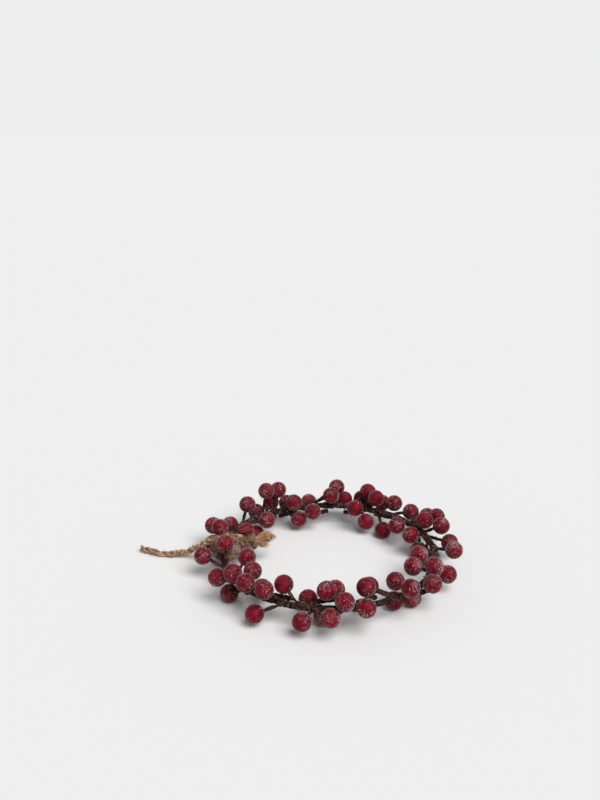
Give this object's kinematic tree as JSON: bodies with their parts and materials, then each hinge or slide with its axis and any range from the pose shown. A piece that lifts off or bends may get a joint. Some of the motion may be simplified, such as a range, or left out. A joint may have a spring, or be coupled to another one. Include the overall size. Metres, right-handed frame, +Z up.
{
  "type": "berry candle ring",
  "caption": "Small wreath that lies round the foot of a pillar candle: frosted red berries on taped wire stems bound to a wire hoop, tied with jute twine.",
  "frame": {"origin": "middle of the hoop, at the table that the ring lies on", "axes": "+Z up out of the table, along the axis of a candle in the ring; +Y away from the viewer of the picture; +X to the right; the twine's tail lies towards -X"},
  "size_m": [0.1777, 0.1408, 0.03],
  "materials": {
    "steel_wire": "plain drawn wire",
    "paper_tape": "dark brown wrapped florist's tape with traces of frost",
    "frosted_berry": "crimson lacquer under clear sugar-like grains",
    "jute_twine": "twisted natural jute with loose fibres"
  },
  "bodies": {
    "root": {"hoop_wire": "steel_wire", "hoop_tape": "paper_tape", "spray_01_stems": "paper_tape", "spray_01_wires": "steel_wire", "spray_01_berries": "frosted_berry", "spray_02_stems": "paper_tape", "spray_02_wires": "steel_wire", "spray_02_berries": "frosted_berry", "spray_03_stems": "paper_tape", "spray_03_wires": "steel_wire", "spray_03_berries": "frosted_berry", "spray_04_stems": "paper_tape", "spray_04_wires": "steel_wire", "spray_04_berries": "frosted_berry", "spray_05_stems": "paper_tape", "spray_05_wires": "steel_wire", "spray_05_berries": "frosted_berry", "spray_06_stems": "paper_tape", "spray_06_wires": "steel_wire", "spray_06_berries": "frosted_berry", "spray_07_stems": "paper_tape", "spray_07_wires": "steel_wire", "spray_07_berries": "frosted_berry", "spray_08_stems": "paper_tape", "spray_08_wires": "steel_wire", "spray_08_berries": "frosted_berry", "spray_09_stems": "paper_tape", "spray_09_wires": "steel_wire", "spray_09_berries": "frosted_berry", "spray_10_stems": "paper_tape", "spray_10_wires": "steel_wire", "spray_10_berries": "frosted_berry", "spray_11_stems": "paper_tape", "spray_11_wires": "steel_wire", "spray_11_berries": "frosted_berry", "spray_12_stems": "paper_tape", "spray_12_wires": "steel_wire", "spray_12_berries": "frosted_berry", "spray_13_stems": "paper_tape", "spray_13_wires": "steel_wire", "spray_13_berries": "frosted_berry", "spray_14_stems": "paper_tape", "spray_14_wires": "steel_wire", "spray_14_berries": "frosted_berry", "spray_15_stems": "paper_tape", "spray_15_wires": "steel_wire", "spray_15_berries": "frosted_berry", "twine_winding": "jute_twine", "twine_knot": "jute_twine", "twine_tail": "jute_twine", "twine_frayed_end": "jute_twine"}
  },
  "joints": []
}
